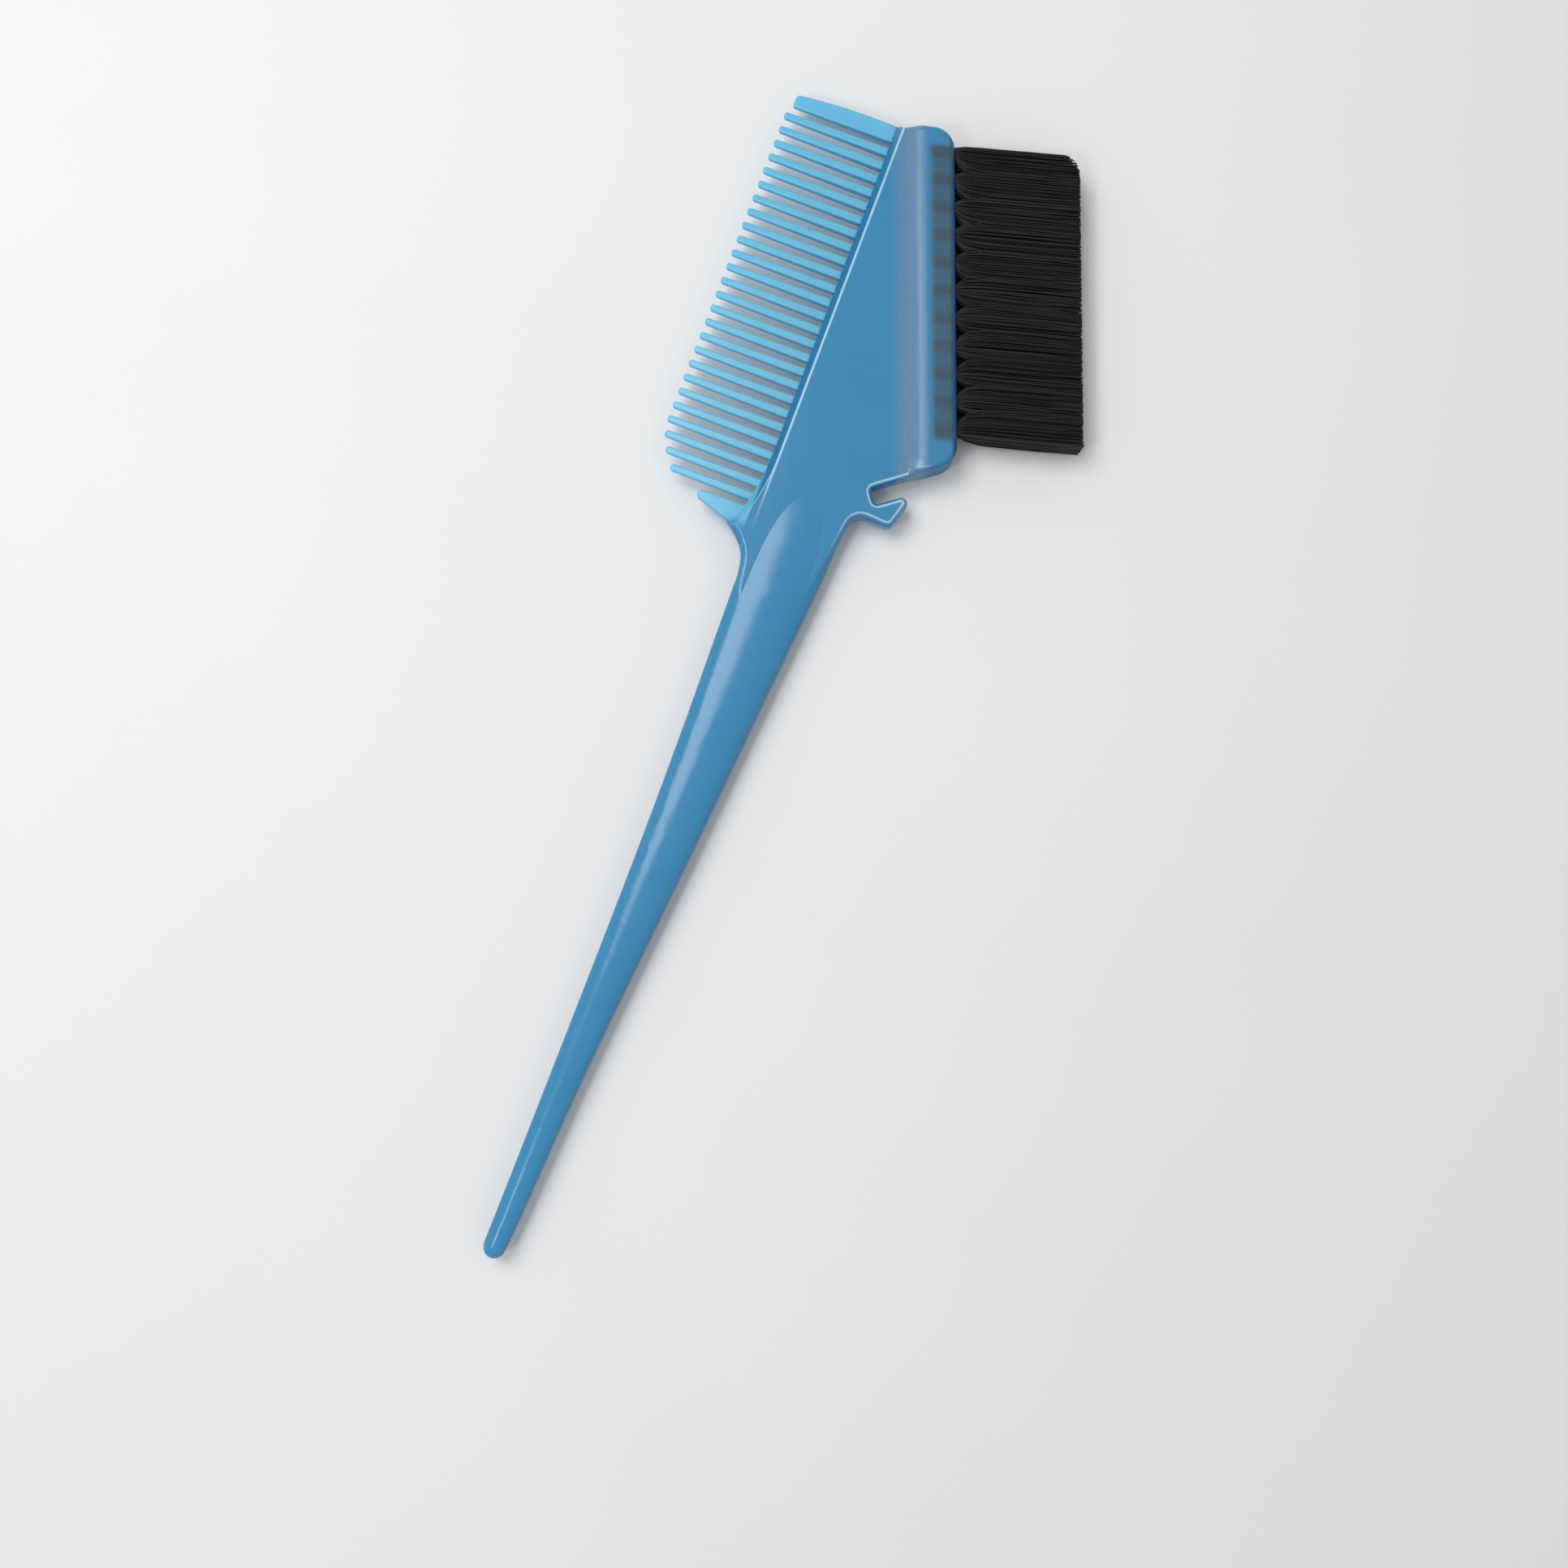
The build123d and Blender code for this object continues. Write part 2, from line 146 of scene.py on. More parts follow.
# ---- Nodes --------------------------------------------------------------------------------------------
class Wire:
    """One output of a node. Arithmetic on it adds the Math nodes that the expression needs."""

    def __init__(self, nodes, socket):
        self.nodes = nodes
        self.socket = socket

    def other(self, name):
        """Another output of the same node."""
        return Wire(self.nodes, self.socket.node.outputs[name])

    def math(self, operation, first, second=0.0):
        return self.nodes.node("ShaderNodeMath", {"operation": operation}, {0: first, 1: second})

    def __add__(self, value):
        return self.math("ADD", self, value)

    __radd__ = __add__

    def __sub__(self, value):
        return self.math("SUBTRACT", self, value)

    def __rsub__(self, value):
        return self.math("SUBTRACT", value, self)

    def __mul__(self, value):
        return self.math("MULTIPLY", self, value)

    __rmul__ = __mul__

    def __truediv__(self, value):
        return self.math("DIVIDE", self, value)

    def __pow__(self, value):
        return self.math("POWER", self, value)

    def __abs__(self):
        return self.math("ABSOLUTE", self)

    def least(self, value):
        return self.math("MINIMUM", self, value)

    def most(self, value):
        return self.math("MAXIMUM", self, value)

    def fraction(self):
        return self.math("FRACT", self)

    def sine(self):
        return self.math("SINE", self)

    def root(self):
        return self.math("SQRT", self)


class Nodes:
    """Adds nodes to one tree."""

    def __init__(self, tree):
        self.tree = tree

    def node(self, kind, settings=None, sockets=None, out=0):
        """A node's output. settings are set before sockets, which are values or links."""
        made = self.tree.nodes.new(kind)
        for name, value in (settings or {}).items():
            setattr(made, name, value)
        for name, value in (sockets or {}).items():
            if isinstance(value, Wire):
                self.tree.links.new(value.socket, made.inputs[name])
            else:
                made.inputs[name].default_value = value
        return Wire(self, made.outputs[out]) if len(made.outputs) else made

    def vector(self, x=0.0, y=0.0, z=0.0):
        return self.node("ShaderNodeCombineXYZ", None, {"X": x, "Y": y, "Z": z})

    def split(self, vector):
        parts = self.node("ShaderNodeSeparateXYZ", None, {0: vector})
        return parts, parts.other("Y"), parts.other("Z")

    def along(self, vector, direction, origin):
        """Distance of a place from an origin along a direction."""
        settings = {"operation": "DOT_PRODUCT"}
        distance = self.node("ShaderNodeVectorMath", settings, {0: vector, 1: direction}, "Value")
        return distance - Vector(origin).dot(Vector(direction))

    def step(self, value, start, end):
        """0 at start, 1 at end and soft between them."""
        settings = {"interpolation_type": "SMOOTHSTEP"}
        sockets = {"Value": value, "From Min": start, "From Max": end}
        return self.node("ShaderNodeMapRange", settings, sockets)

    def noise(self, place, size, detail=2.0, roughness=0.5):
        """Soft noise from 0 to 1, with features of about that size in metres."""
        sockets = {"Vector": place, "Scale": 1.0 / size, "Detail": detail, "Roughness": roughness}
        return self.node("ShaderNodeTexNoise", None, sockets, "Fac")

    def mix(self, factor, first, second):
        """Between two colours."""
        settings = {"data_type": "RGBA"}
        made = self.node("ShaderNodeMix", settings, None, 2)
        sockets = made.socket.node.inputs
        for socket, value in zip((sockets[0], sockets[6], sockets[7]), (factor, first, second)):
            if isinstance(value, Wire):
                self.tree.links.new(value.socket, socket)
            elif socket == sockets[0]:
                socket.default_value = value
            else:
                socket.default_value = (*value[:3], 1.0)
        return made

    def place(self):
        return self.node("ShaderNodeTexCoord", None, None, "Object")


def new_material(name, **constants):
    """A material with one Principled shader, and the helper that adds nodes in front of it."""
    material = bpy.data.materials.new(name)
    material.use_nodes = True
    nodes = Nodes(material.node_tree)
    shader = material.node_tree.nodes["Principled BSDF"]
    for socket, value in constants.items():
        shader.inputs[socket.replace("_", " ")].default_value = value
    return material, nodes, shader


def feed(nodes, shader, **wires):
    """Links what changes over the surface to the shader's sockets."""
    for socket, wire in wires.items():
        nodes.tree.links.new(wire.socket, shader.inputs[socket.replace("_", " ")])


def bump(nodes, height, distance, strength=1.0, normal=None):
    """A surface that rises by distance where height is 1."""
    sockets = {"Height": height, "Distance": distance, "Strength": strength}
    if normal:
        sockets["Normal"] = normal
    return nodes.node("ShaderNodeBump", None, sockets)


# ---- Settings -----------------------------------------------------------------------------------------
def colour_setting(name, description, default):
    return FloatVectorProperty(
        name=name, description=description, default=default, subtype="COLOR", size=3, min=0.0, max=1.0
    )


def length_setting(name, description, default, most=1.0):
    return FloatProperty(
        name=name, description=description, default=default, min=0.0, max=most, unit="LENGTH", precision=5,
    )


def share_setting(name, description, default):
    return FloatProperty(
        name=name, description=description, default=default, min=0.0, max=1.0, subtype="FACTOR",
    )


class BodySettings(bpy.types.PropertyGroup):
    thin_colour: colour_setting("Thin colour", "Plastic where it is thin: the comb", (0.18, 0.60, 0.88))
    thick_colour: colour_setting("Thick colour", "Plastic where it is thick: the head", (0.002, 0.22, 0.47))
    # painted highlight: a pale band on the bristle block's slope
    slope_highlight_colour: colour_setting("Milky colour", "Plastic on the bristle block's slope", (0.23, 0.34, 0.50))
    # painted highlight on rounded rims and along the bevel's upper corner
    edge_highlight_colour: colour_setting("Edge colour", "Rims that catch the light", (0.66, 0.90, 1.0))
    # painted shade on the rounded rim beside the bristles
    rim_shade_colour: colour_setting("Rim colour", "Deep rim beside the bristles", (0.002, 0.085, 0.30))
    shade_colour: colour_setting("Tuft shade", "Plastic with dark bristles under it", (0.04, 0.08, 0.098))
    clearness: share_setting("Clearness", "How much light passes straight through", 0.3)
    milkiness: share_setting("Milkiness", "How much light spreads inside", 0.6)
    gloss_roughness: share_setting("Gloss roughness", "Roughness of the moulded skin", 0.2)
    ripple: length_setting("Ripple", "Depth of the soft waves left by moulding", 0.02 * MM, MM)


class BristleSettings(bpy.types.PropertyGroup):
    filaments: IntProperty(
        name="Filaments", description="Filament ends in each tuft", default=230, min=10, max=400
    )
    diameter: length_setting("Diameter", "One filament's thickness", 0.19 * MM, MM)
    raggedness: length_setting("Raggedness", "How uneven the cut tips are", 0.35 * MM, 2 * MM)
    waviness: length_setting("Waviness", "How far a filament bows to the side", 0.22 * MM, 2 * MM)
    corner_round: length_setting("Corner round", "Rounding of the tips' upper corner", 3.2 * MM, 10 * MM)
    stray_share: share_setting("Strays", "Share of the filaments that lean out of the tuft", 0.06)
    colour: colour_setting("Colour", "Nylon of the bristles", (0.003, 0.0033, 0.004))


class AnchorSettings(bpy.types.PropertyGroup):
    colour: colour_setting("Colour", "Drawn wire of the anchors", (0.72, 0.52, 0.24))
    roughness: share_setting("Roughness", "Roughness of the drawn wire", 0.35)


class StageSettings(bpy.types.PropertyGroup):
    floor_colour: colour_setting("Floor colour", "Pale floor", (0.78, 0.78, 0.78))
    lens: FloatProperty(
        name="Lens", description="Focal length in millimetres", default=37.83, min=10.0, max=200.0,
    )
    camera_place: FloatVectorProperty(
        name="Camera place", description="Where the camera is",
        default=(TAIL_X + 20.19 * MM, CAD_LOW.y + 78.28 * MM, MIDDLE + 295.05 * MM),
        subtype="TRANSLATION", unit="LENGTH", precision=5,
    )
    camera_target: FloatVectorProperty(
        name="Camera target", description="Point in the middle of the view",
        default=(TAIL_X + 18.56 * MM, CAD_LOW.y + 96.29 * MM, MIDDLE),
        subtype="TRANSLATION", unit="LENGTH", precision=5,
    )
    camera_turn: FloatProperty(
        name="Camera turn", description="How far the handle leans to the right in the view",
        default=math.radians(20.5), subtype="ANGLE",
    )
    sky_strength: FloatProperty(
        name="Sky strength", description="Light from all round", default=0.55, min=0.0,
    )
    lamp_power: FloatProperty(
        name="Lamp power", description="Power of the large soft lamp", default=2.5, min=0.0, unit="POWER",
    )


# ---- Materials ----------------------------------------------------------------------------------------
CLOUD_SIZE = 9 * MM         # slow change of the plastic's tint
WAVE_SIZE = 7 * MM          # moulding waves
STREAK_SIZE = 3 * MM        # streaks in the painted highlight on the slope
SKIN_SIZE = 2.2 * MM        # duller patches of the skin
GRAIN_SIZE = 0.25 * MM      # the skin's finest texture
PATCH_SIZE = 1.5 * MM       # duller patches of the nylon
WIRE_LINE_SIZE = 0.5 * MM   # drawing lines of the wire
MOTTLE_SIZE = 60 * MM       # of the floor
STREAK_STRETCH = (3.0, 0.08)       # of the streaks, across the slope and along it
CORNER_HIGHLIGHT_LINE = (0.1 * MM, 0.3 * MM)       # half width of the painted highlight line along the bevel: full, and faded out
MARK_HALF_WIDTH = (HOLE_RADIUS * 0.3, HOLE_RADIUS * 1.35)      # of the dark mark over a tuft: full, faded out
MARK_INNER_END = (HOLE_DEPTH * 0.8, HOLE_DEPTH * 1.12)
MARK_OUTER_END = (0.2 * MM, 1.0 * MM)
BETWEEN_MARKS = 0.76        # shade between two marks, as a share of a mark's
MARK_STRENGTH = 0.9
HEAD_START = (-2 * MM, 14 * MM)          # above the spur
ABOVE_HOOK = (20 * MM, 23 * MM)          # above the spur


def tuft_shade(nodes, place, mouths, face):
    """How dark a row of tufts makes the plastic over it, on the face that the row is nearest to."""
    first = mouths[0]
    down = nodes.along(place, -EDGE_UP, first)
    inward = nodes.along(place, -EDGE_OUT, first)
    level = down + inward * math.tan(EDGE_ANGLE - BRISTLE_ANGLE) - SHADE_DROP
    turns = level / TUFT_PITCH + 0.5
    from_middle = abs(turns.fraction() - 0.5) * TUFT_PITCH
    mark = 1 - nodes.step(from_middle, *MARK_HALF_WIDTH)
    reach = (1 - nodes.step(inward, *MARK_INNER_END)) * nodes.step(inward, *MARK_OUTER_END)
    length = TUFT_PITCH * (len(mouths) - 0.5)
    start = nodes.step(level, -HOLE_RADIUS * 1.4, -HOLE_RADIUS * 0.6)
    end = 1 - nodes.step(level, length - HOLE_RADIUS, length)
    _, _, height = nodes.split(place)
    side = nodes.step(height * face, MIDDLE * face, MIDDLE * face + MM)
    return (BETWEEN_MARKS + mark * (1 - BETWEEN_MARKS)) * reach * start * end * side


class BodyPlaces:
    """Where each region of the body is, as shares from 0 to 1 over its surface."""

    def __init__(self, nodes, place):
        x, y, _ = nodes.split(place)
        root_x = CAD_LOW.x + ROOT_INSET
        spur_y = CAD_LOW.y + TAIL_TO_SPUR
        ramp_end = BLOCK_WIDTH + BLOCK_RAMP
        inward = nodes.along(place, -EDGE_OUT, FRONT_MOUTHS[0])
        left = 1 - nodes.step(x, root_x - 0.3 * MM, root_x + 0.1 * MM)
        self.comb = left * nodes.step(y, spur_y - MM, spur_y + 2 * MM)
        self.head = nodes.step(y, *(spur_y + rise for rise in HEAD_START))
        self.block = (1 - nodes.step(inward, BLOCK_WIDTH * 0.9, ramp_end)) * self.head
        self.rim = (1 - nodes.step(inward, 0.5 * MM, 1.3 * MM)) * self.head
        slope = 1 - nodes.step(inward, BLOCK_WIDTH + BLOCK_RAMP * 0.7, BLOCK_WIDTH + BLOCK_RAMP * 1.5)
        self.slope = nodes.step(inward, BLOCK_WIDTH * 0.85, BLOCK_WIDTH * 1.3) * slope * self.head
        # where the painted dark reflection on the bevel goes
        self.bevel = (1 - nodes.step(x, root_x + BEVEL * 0.9, root_x + BEVEL * 1.2)) * self.head
        past_slope = nodes.step(inward, BLOCK_WIDTH + BLOCK_RAMP * 1.1, BLOCK_WIDTH + BLOCK_RAMP * 1.3)
        above_hook = nodes.step(y, *(spur_y + rise for rise in ABOVE_HOOK))
        self.beside_block = above_hook * (1 - past_slope)
        # painted highlight line along the bevel's upper corner
        self.corner = 1 - nodes.step(abs(x - (root_x + BEVEL + 0.05 * MM)), *CORNER_HIGHLIGHT_LINE)
        across, along = STREAK_STRETCH
        self.streaks = nodes.noise(nodes.vector(inward * across, y * along, 0.0), STREAK_SIZE, 2.0)
        self.clouds = nodes.noise(place, CLOUD_SIZE, 3.0)
        normal = nodes.node("ShaderNodeNewGeometry", None, None, "Normal")
        self.level = abs(nodes.split(normal)[2])


def plastic_colour(nodes, place, body, settings):
    """Deeper where the plastic is thicker and dark over the tufts; painted shade on steep walls and the rim
    beside the bristles, a painted dark reflection on the bevel, and painted highlights on the slope, on
    rounded rims and along the bevel's corner.
    """
    # Deeper blue where the plastic is thicker, over the bristle block; the bevel's share is a painted dark
    # reflection.
    depth = 0.72 + body.block * 0.10 + body.bevel * 0.20
    depth = depth * (1 - body.comb) + body.comb * 0.05 + (body.clouds - 0.5) * 0.10
    # Painted shade on steep side walls, less on the comb's.
    wall_shade = 1 - nodes.step(body.level, 0.2, 0.85)
    depth = depth + wall_shade * (0.35 - body.comb * 0.22)
    colour = nodes.mix(depth.most(0.0).least(1.0), settings.thin_colour, settings.thick_colour)
    # Painted highlight band on the slope, broken by streaks.
    colour = nodes.mix(body.slope * (0.35 + body.streaks * 0.6), colour, settings.slope_highlight_colour)
    # Painted shade on the rounded rim beside the bristles.
    colour = nodes.mix(body.rim * 0.85, colour, settings.rim_shade_colour)
    # Painted highlights on rounded rims, where the surface tilts a little, and along the bevel's corner.
    rounded_highlight = nodes.step(body.level, 0.78, 0.90) * (1 - nodes.step(body.level, 0.95, 0.99))
    glint = rounded_highlight * (1 - body.rim) * (1 - body.beside_block)
    glint = glint.most(body.corner) * body.head * (1 - body.comb) * (0.6 + body.clouds * 0.4)
    colour = nodes.mix(glint, colour, settings.edge_highlight_colour)
    shade = tuft_shade(nodes, place, FRONT_MOUTHS, 1.0) + tuft_shade(nodes, place, BACK_MOUTHS, -1.0)
    return nodes.mix(shade.least(1.0) * MARK_STRENGTH, colour, settings.shade_colour)


def plastic(settings):
    """Translucent polypropylene with a softly rippled, satin to glossy skin."""
    material, nodes, shader = new_material(
        "translucent_blue_plastic",
        IOR=1.49,
        Transmission_Weight=settings.clearness,
        Subsurface_Weight=settings.milkiness,
        Subsurface_Radius=(0.4, 0.9, 1.3),
        Subsurface_Scale=2.0 * MM,
        Specular_IOR_Level=0.5,
    )
    place = nodes.place()
    body = BodyPlaces(nodes, place)
    skin = nodes.noise(place, SKIN_SIZE, 4.0)
    grain = nodes.noise(place, GRAIN_SIZE, 2.0)
    roughness = settings.gloss_roughness + (skin - 0.5) * 0.10 + (grain - 0.5) * 0.05
    roughness = roughness + (body.slope * 0.12).most(body.block * 0.24)
    waves = bump(nodes, nodes.noise(place, WAVE_SIZE, 2.0), settings.ripple * 4)
    normal = bump(nodes, grain, settings.ripple / 8, 1.0, waves)
    colour = plastic_colour(nodes, place, body, settings)
    feed(nodes, shader, Base_Color=colour, Roughness=roughness, Normal=normal)
    return material


def nylon(settings):
    """Black nylon filament, each one a little lighter or darker, with a satin skin."""
    material, nodes, shader = new_material("black_nylon", IOR=1.53, Specular_IOR_Level=0.35)
    tone = nodes.node("ShaderNodeAttribute", {"attribute_name": "tone"}, None, "Fac")
    lighter = tuple(min(1.0, 4.5 * part + 0.006) for part in settings.colour)
    patches = nodes.noise(nodes.place(), PATCH_SIZE, 3.0)
    colour = nodes.mix((tone ** 3.0) * 0.8 + patches * 0.12, settings.colour, lighter)
    roughness = 0.36 + tone * 0.16 + (patches - 0.5) * 0.1
    feed(nodes, shader, Base_Color=colour, Roughness=roughness)
    return material


def drawn_wire(settings):
    """Flat brass wire with fine lines along its length."""
    material, nodes, shader = new_material("drawn_brass_wire", Metallic=1.0)
    place = nodes.place()
    height = nodes.along(place, (0, 0, 1), (0, 0, MIDDLE))
    lines = nodes.noise(nodes.vector(0.0, 0.0, height * 12.0), WIRE_LINE_SIZE, 2.0)
    colour = nodes.mix(lines * 0.5, settings.colour, [part * 0.6 for part in settings.colour])
    feed(
        nodes, shader, Base_Color=colour, Roughness=settings.roughness + (lines - 0.5) * 0.2,
        Normal=bump(nodes, lines, 0.01 * MM),
    )
    return material


def floor_paint(settings):
    """Matt paper, faintly mottled."""
    material, nodes, shader = new_material("pale_floor", Specular_IOR_Level=0.2)
    mottle = nodes.noise(nodes.place(), MOTTLE_SIZE, 3.0)
    darker = [part * 0.97 for part in settings.floor_colour]
    feed(
        nodes, shader, Base_Color=nodes.mix(mottle, settings.floor_colour, darker),
        Roughness=0.85 + (mottle - 0.5) * 0.1,
    )
    return material


# ---- Bristles -----------------------------------------------------------------------------------------
TUFT_INPUTS = (
    ("Filaments", "NodeSocketInt"),
    ("Diameter", "NodeSocketFloat"),
    ("Root Radius", "NodeSocketFloat"),
    ("Root Depth", "NodeSocketFloat"),
    ("Tip", "NodeSocketVector"),
    ("Tip Width", "NodeSocketFloat"),
    ("Tip Height", "NodeSocketFloat"),
    ("Tip Slant", "NodeSocketFloat"),
    ("Field Top", "NodeSocketFloat"),
    ("Field Bottom", "NodeSocketFloat"),
    ("Corner Round", "NodeSocketFloat"),
    ("Raggedness", "NodeSocketFloat"),
    ("Waviness", "NodeSocketFloat"),
    ("Stray Share", "NodeSocketFloat"),
    ("Seed", "NodeSocketInt"),
    ("Material", "NodeSocketMaterial"),
)
BENDS = 8             # points along a filament
BEND_CROWDING = 2.2   # how much nearer to the hole they stand
SIDES = 5             # sides of its section
SPREAD_A = 0.7548777  # steps of an even scatter over a square
SPREAD_B = 0.5698403
SPREAD_SEED = 0.37
JITTER = 0.05         # how far a filament leaves that scatter, from -1 to 1 over the tuft
TUFT_MIXING = 1.2     # how far tufts reach into their neighbours: 1 is not at all
TIP_JITTER = 0.12 * MM
STRAY_REACH = (0.5 * MM, 0.4 * MM)      # along the brush and through its thickness
END_UNEVENNESS = 0.3 * MM               # of the field's two ends
FAN_POWER = 16.0      # how quickly the filaments fan out


def bristle_tree():
    """Geometry nodes for one tuft: filaments that leave a round hole side by side and fan out.

    In the tree's own frame the hole's mouth is at the origin and the bristles run along z.
    """
    tree = bpy.data.node_groups.new("bristle_tuft", "GeometryNodeTree")
    tree.interface.new_socket("Tuft", in_out="OUTPUT", socket_type="NodeSocketGeometry")
    for name, kind in TUFT_INPUTS:
        tree.interface.new_socket(name, in_out="INPUT", socket_type=kind)
    nodes = Nodes(tree)
    entry = nodes.node("NodeGroupInput")
    given = {name: entry.other(name) for name, _ in TUFT_INPUTS}
    seed = given["Seed"]

    def chance(offset, low=0.0, high=1.0):
        """A random number for each filament."""
        sockets = {2: low, 3: high, "Seed": seed * 16 + offset}
        return nodes.node("FunctionNodeRandomValue", {"data_type": "FLOAT"}, sockets, 1)

    index = nodes.node("GeometryNodeInputIndex")
    a = (index * SPREAD_A + seed * SPREAD_SEED).fraction() * 2 - 1 + chance(1, -JITTER, JITTER)
    b = (index * SPREAD_B + seed * SPREAD_SEED).fraction() * 2 - 1 + chance(2, -JITTER, JITTER)
    stray = chance(3)
    leaning = stray.math("LESS_THAN", stray, given["Stray Share"])
    root_x = a * (1 - b * b * 0.5).root() * given["Root Radius"]
    root_y = b * (1 - a * a * 0.5).root() * given["Root Radius"]
    tip_x, tip_y, tip_z = nodes.split(given["Tip"])
    stray_x, stray_y = STRAY_REACH
    off_x = a * given["Tip Width"] * TUFT_MIXING / 2 + chance(4, -TIP_JITTER, TIP_JITTER)
    off_x = off_x + leaning * chance(5, -stray_x, stray_x)
    off_y = b * given["Tip Height"] / 2 + chance(6, -TIP_JITTER, TIP_JITTER)
    off_y = off_y + leaning * chance(7, -stray_y, stray_y)
    end_x = (tip_x + off_x).least(given["Field Top"] - chance(13, 0.0, END_UNEVENNESS))
    end_x = end_x.most(given["Field Bottom"] + chance(14, 0.0, END_UNEVENNESS))
    corner = (1 - (given["Field Top"] - end_x) / given["Corner Round"]).most(0.0)
    rounding = (1 - (1 - corner * corner).most(0.0).root()) * given["Corner Round"]
    trim = chance(8, -1.0, 0.0)
    end_z = tip_z + (end_x - tip_x) * given["Tip Slant"] - rounding
    end_z = end_z + (trim * trim * trim + 0.3) * given["Raggedness"]
    facts = {
        "root": nodes.vector(root_x, root_y, 0.0),
        "tip": nodes.vector(end_x, tip_y + off_y, end_z),
        "bow": nodes.vector(chance(9, -1.0, 1.0), chance(10, -1.0, 1.0), chance(11, -1.0, 1.0)),
        "tone": chance(12),
    }
    points = nodes.node("GeometryNodePoints", None, {"Count": given["Filaments"]})
    for name, value in facts.items():
        kind = "FLOAT" if name == "tone" else "FLOAT_VECTOR"
        settings = {"data_type": kind, "domain": "POINT"}
        sockets = {"Geometry": points, "Name": name, "Value": value}
        points = nodes.node("GeometryNodeStoreNamedAttribute", settings, sockets)
    line = nodes.node("GeometryNodeCurvePrimitiveLine", {"mode": "POINTS"}, {"End": (0.0, 0.0, 1.0)})
    line = nodes.node("GeometryNodeResampleCurve", None, {"Curve": line, "Count": BENDS})
    strands = nodes.node("GeometryNodeInstanceOnPoints", None, {"Points": points, "Instance": line})
    strands = nodes.node("GeometryNodeRealizeInstances", None, {"Geometry": strands})

    def fact(name, kind="FLOAT_VECTOR"):
        return nodes.node("GeometryNodeInputNamedAttribute", {"data_type": kind}, {"Name": name})

    share = nodes.node("GeometryNodeSplineParameter", None, None, "Factor")
    root = nodes.split(fact("root"))
    tip = nodes.split(fact("tip"))
    bow = nodes.split(fact("bow"))
    depth = given["Root Depth"]
    first_bend = 1 / (BENDS - 1)
    rise = ((share - first_bend) / (1 - first_bend)).most(0.0) ** BEND_CROWDING
    height = rise * tip[2] - (1 - share / first_bend).most(0.0) * depth
    opening = (height / tip[2]).most(0.0)
    fan = 1 - (1 - opening.least(1.0)) ** FAN_POWER
    swing = (opening * math.pi).sine() * given["Waviness"]
    ripple = (opening * (2 * math.pi) + bow[2] * math.pi).sine() * opening * given["Waviness"] * 0.4
    moved = nodes.vector(
        root[0] + (tip[0] - root[0]) * fan + swing * bow[0] + ripple,
        root[1] + (tip[1] - root[1]) * fan + swing * bow[1] * 0.6,
        height,
    )
    strands = nodes.node("GeometryNodeSetPosition", None, {"Geometry": strands, "Position": moved})
    sockets = {"Resolution": SIDES, "Radius": given["Diameter"] / 2}
    ring = nodes.node("GeometryNodeCurvePrimitiveCircle", None, sockets)
    sockets = {"Curve": strands, "Profile Curve": ring, "Fill Caps": True}
    tubes = nodes.node("GeometryNodeCurveToMesh", None, sockets)
    tubes = nodes.node("GeometryNodeRealizeInstances", None, {"Geometry": tubes})
    tubes = nodes.node("GeometryNodeSetMaterial", None, {"Geometry": tubes, "Material": given["Material"]})
    nodes.node("NodeGroupOutput", None, {"Tuft": tubes})
    return tree


def grown_mesh(name, tree, values):
    """The plain mesh that a geometry tree makes from the given inputs."""
    holder = bpy.data.objects.new(name, bpy.data.meshes.new(name))
    bpy.context.collection.objects.link(holder)
    modifier = holder.modifiers.new("growth", "NODES")
    modifier.node_group = tree
    keys = {item.name: item.identifier for item in tree.interface.items_tree if item.in_out == "INPUT"}
    for key, value in values.items():
        modifier[keys[key]] = value
    graph = bpy.context.evaluated_depsgraph_get()
    graph.update()
    grown = holder.evaluated_get(graph)
    mesh = bpy.data.meshes.new_from_object(grown, preserve_all_data_layers=True, depsgraph=graph)
    bpy.data.objects.remove(holder)
    return mesh


def tuft_matrix(mouth):
    """From a tuft's own frame to the brush's."""
    turned = Matrix((BRISTLE_UP, Vector((0, 0, 1)), BRISTLE_OUT)).transposed()
    return Matrix.Translation(mouth) @ turned.to_4x4()


# ---- Operators ----------------------------------------------------------------------------------------
class TINTBRUSH_OT_body(bpy.types.Operator):
    """Gives the moulded body its translucent plastic"""

    bl_idname = "tintbrush.body"
    bl_label = "Moulded Body"

    def execute(self, context):
        body = frame["nodes"][BODY_NODE]
        material = plastic(context.scene.tint_brush_body)
        for slot in body.material_slots:
            slot.material = material
        return {"FINISHED"}


class TINTBRUSH_OT_anchors(bpy.types.Operator):
    """Gives the flat-wire anchors in the holes their drawn brass"""

    bl_idname = "tintbrush.anchors"
    bl_label = "Wire Anchors"

    def execute(self, context):
        material = drawn_wire(context.scene.tint_brush_anchors)
        for name, wire in frame["nodes"].items():
            if "_anchor_" in name:
                for slot in wire.material_slots:
                    slot.material = material
        return {"FINISHED"}


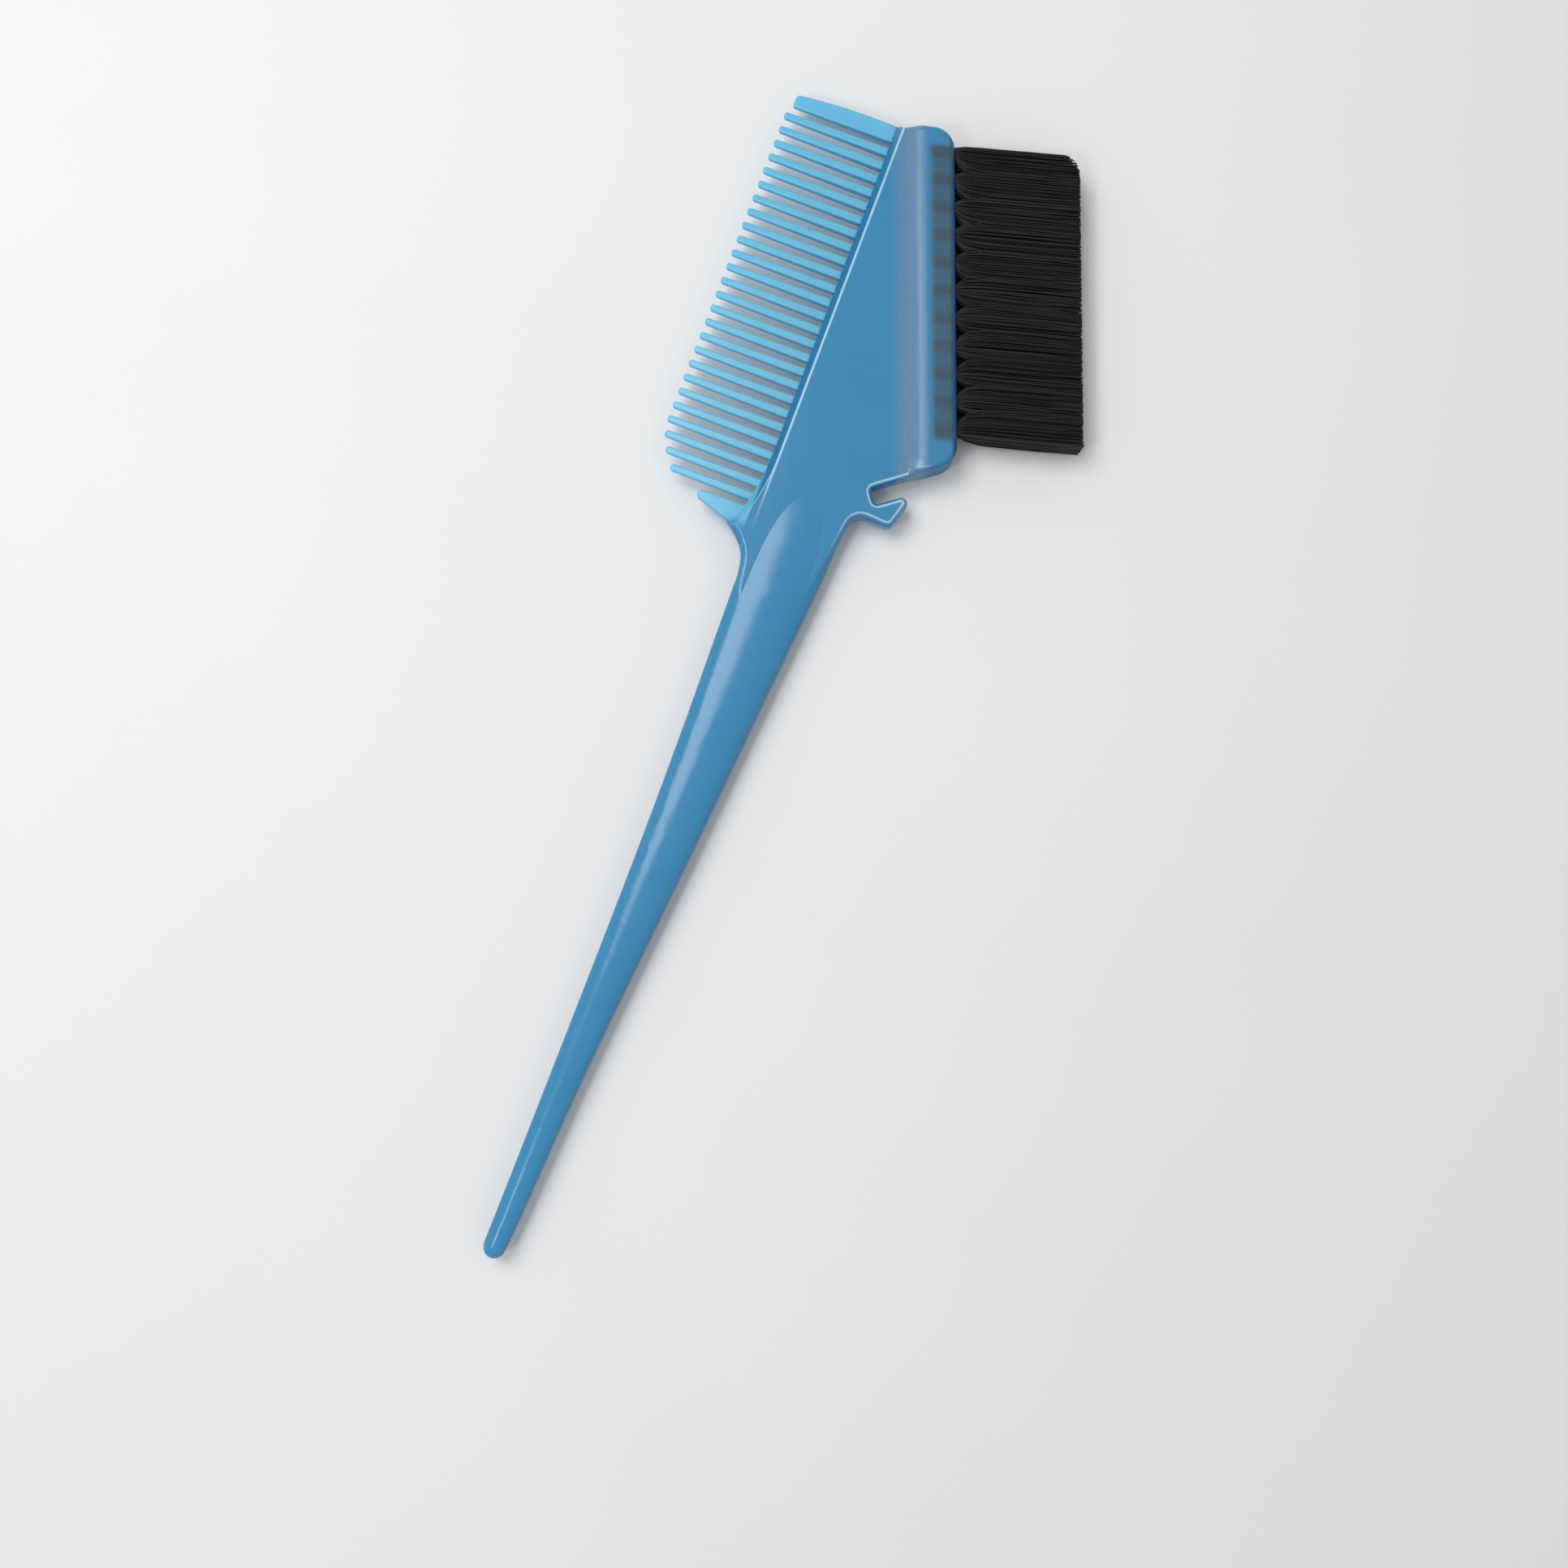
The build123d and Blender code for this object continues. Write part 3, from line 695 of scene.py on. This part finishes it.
class TINTBRUSH_OT_bristles(bpy.types.Operator):
    """Grows the filaments of every tuft, in place of its solid"""

    bl_idname = "tintbrush.bristles"
    bl_label = "Bristle Tufts"

    def execute(self, context):
        settings = context.scene.tint_brush_bristles
        material = nylon(settings)
        tree = bristle_tree()
        first, *_, last = [tuft_measures(node) for node in tuft_nodes("front")]
        field_top = first["tip"] + EDGE_UP * first["width"] / 2
        field_bottom = last["tip"] - EDGE_UP * last["width"] / 2
        seed = 0
        for row in ROWS:
            for node in tuft_nodes(row):
                seed += 1
                measures = tuft_measures(node)
                place = tuft_matrix(measures["mouth"])
                values = {
                    "Filaments": settings.filaments,
                    "Diameter": settings.diameter,
                    "Root Radius": HOLE_RADIUS - settings.diameter / 2,
                    "Root Depth": HOLE_DEPTH * 0.9,
                    "Tip": place.inverted() @ measures["tip"],
                    "Tip Width": measures["width"],
                    "Tip Height": measures["height"],
                    "Tip Slant": -math.tan(EDGE_ANGLE - BRISTLE_ANGLE),
                    "Field Top": (place.inverted() @ field_top).x,
                    "Field Bottom": (place.inverted() @ field_bottom).x,
                    "Corner Round": settings.corner_round,
                    "Raggedness": settings.raggedness,
                    "Waviness": settings.waviness,
                    "Stray Share": settings.stray_share,
                    "Seed": seed,
                    "Material": material,
                }
                mesh = grown_mesh(f"{node}_bristles", tree, values)
                if not mesh.polygons:
                    raise RuntimeError(f"no filaments grew in {node}")
                mesh.transform(place)
                tuft = bpy.data.objects.new(f"{node}_bristles", mesh)
                context.collection.objects.link(tuft)
                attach(tuft, "root")
                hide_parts(node)
        return {"FINISHED"}


FLOOR_REACH = 3.0     # from its middle to each side, in metres
LAMPS = (             # name, place and width in metres, share of the lamp power
    ("main_lamp", (-0.32, 0.12, 0.60), 0.45, 1.0),
    ("side_lamp", (-0.22, -0.30, 0.55), 0.12, 0.22),
)


class TINTBRUSH_OT_stage(bpy.types.Operator):
    """Sets up the pale floor, the soft lights and the camera"""

    bl_idname = "tintbrush.stage"
    bl_label = "Stage"

    def execute(self, context):
        settings = context.scene.tint_brush_stage
        signs = ((-1, -1), (1, -1), (1, 1), (-1, 1))
        corners = [(x * FLOOR_REACH, y * FLOOR_REACH, CAD_LOW.z) for x, y in signs]
        mesh = bpy.data.meshes.new("floor")
        mesh.from_pydata(corners, [], [(0, 1, 2, 3)])
        floor = bpy.data.objects.new("floor", mesh)
        mesh.materials.append(floor_paint(settings))
        context.collection.objects.link(floor)

        world = bpy.data.worlds.new("soft_sky")
        world.use_nodes = True
        sky = world.node_tree.nodes["Background"]
        sky.inputs["Color"].default_value = (1.0, 1.0, 1.0, 1.0)
        sky.inputs["Strength"].default_value = settings.sky_strength
        context.scene.world = world

        for name, place, width, share in LAMPS:
            light = bpy.data.lights.new(name, "AREA")
            light.shape = "DISK"
            light.size = width
            light.energy = settings.lamp_power * share
            lamp = bpy.data.objects.new(name, light)
            lamp.location = place
            lamp.rotation_mode = "QUATERNION"
            lamp.rotation_quaternion = (-Vector(place)).to_track_quat("-Z", "Y")
            context.collection.objects.link(lamp)

        lens = bpy.data.cameras.new("camera")
        lens.sensor_width = 36.0
        lens.lens = settings.lens
        lens.clip_start = 0.01
        camera = bpy.data.objects.new("camera", lens)
        context.collection.objects.link(camera)
        place = Vector(settings.camera_place)
        back = (place - Vector(settings.camera_target)).normalized()
        lean = settings.camera_turn
        right = Vector((-math.sin(lean), math.cos(lean), 0)).cross(back).normalized()
        up = back.cross(right)
        turned = Matrix((right, up, back)).transposed()
        camera.matrix_world = Matrix.Translation(place) @ turned.to_4x4()
        context.scene.camera = camera
        context.scene.view_settings.view_transform = "Standard"
        return {"FINISHED"}


class TINTBRUSH_PT_panel(bpy.types.Panel):
    """Lists the brush's pieces and their settings"""

    bl_idname = "TINTBRUSH_PT_panel"
    bl_label = "Tint Brush"
    bl_space_type = "VIEW_3D"
    bl_region_type = "UI"
    bl_category = "Tint Brush"

    def draw(self, context):
        for operator, group in STEPS:
            box = self.layout.box()
            box.operator(operator.bl_idname)
            settings = getattr(context.scene, group)
            for name in settings.bl_rna.properties.keys():
                if name not in ("rna_type", "name"):
                    box.prop(settings, name)


STEPS = (
    (TINTBRUSH_OT_body, "tint_brush_body"),
    (TINTBRUSH_OT_anchors, "tint_brush_anchors"),
    (TINTBRUSH_OT_bristles, "tint_brush_bristles"),
    (TINTBRUSH_OT_stage, "tint_brush_stage"),
)
GROUPS = {
    "tint_brush_body": BodySettings,
    "tint_brush_anchors": AnchorSettings,
    "tint_brush_bristles": BristleSettings,
    "tint_brush_stage": StageSettings,
}


def register():
    for name, group in GROUPS.items():
        bpy.utils.register_class(group)
        setattr(bpy.types.Scene, name, PointerProperty(type=group))
    for operator, _ in STEPS:
        bpy.utils.register_class(operator)
    bpy.utils.register_class(TINTBRUSH_PT_panel)


def unregister():
    bpy.utils.unregister_class(TINTBRUSH_PT_panel)
    for operator, _ in reversed(STEPS):
        bpy.utils.unregister_class(operator)
    for name, group in reversed(GROUPS.items()):
        delattr(bpy.types.Scene, name)
        bpy.utils.unregister_class(group)


def main():
    """Makes every piece in order."""
    register()
    bpy.ops.tintbrush.body()
    bpy.ops.tintbrush.anchors()
    bpy.ops.tintbrush.bristles()
    bpy.ops.tintbrush.stage()


if __name__ == "__main__":
    main()
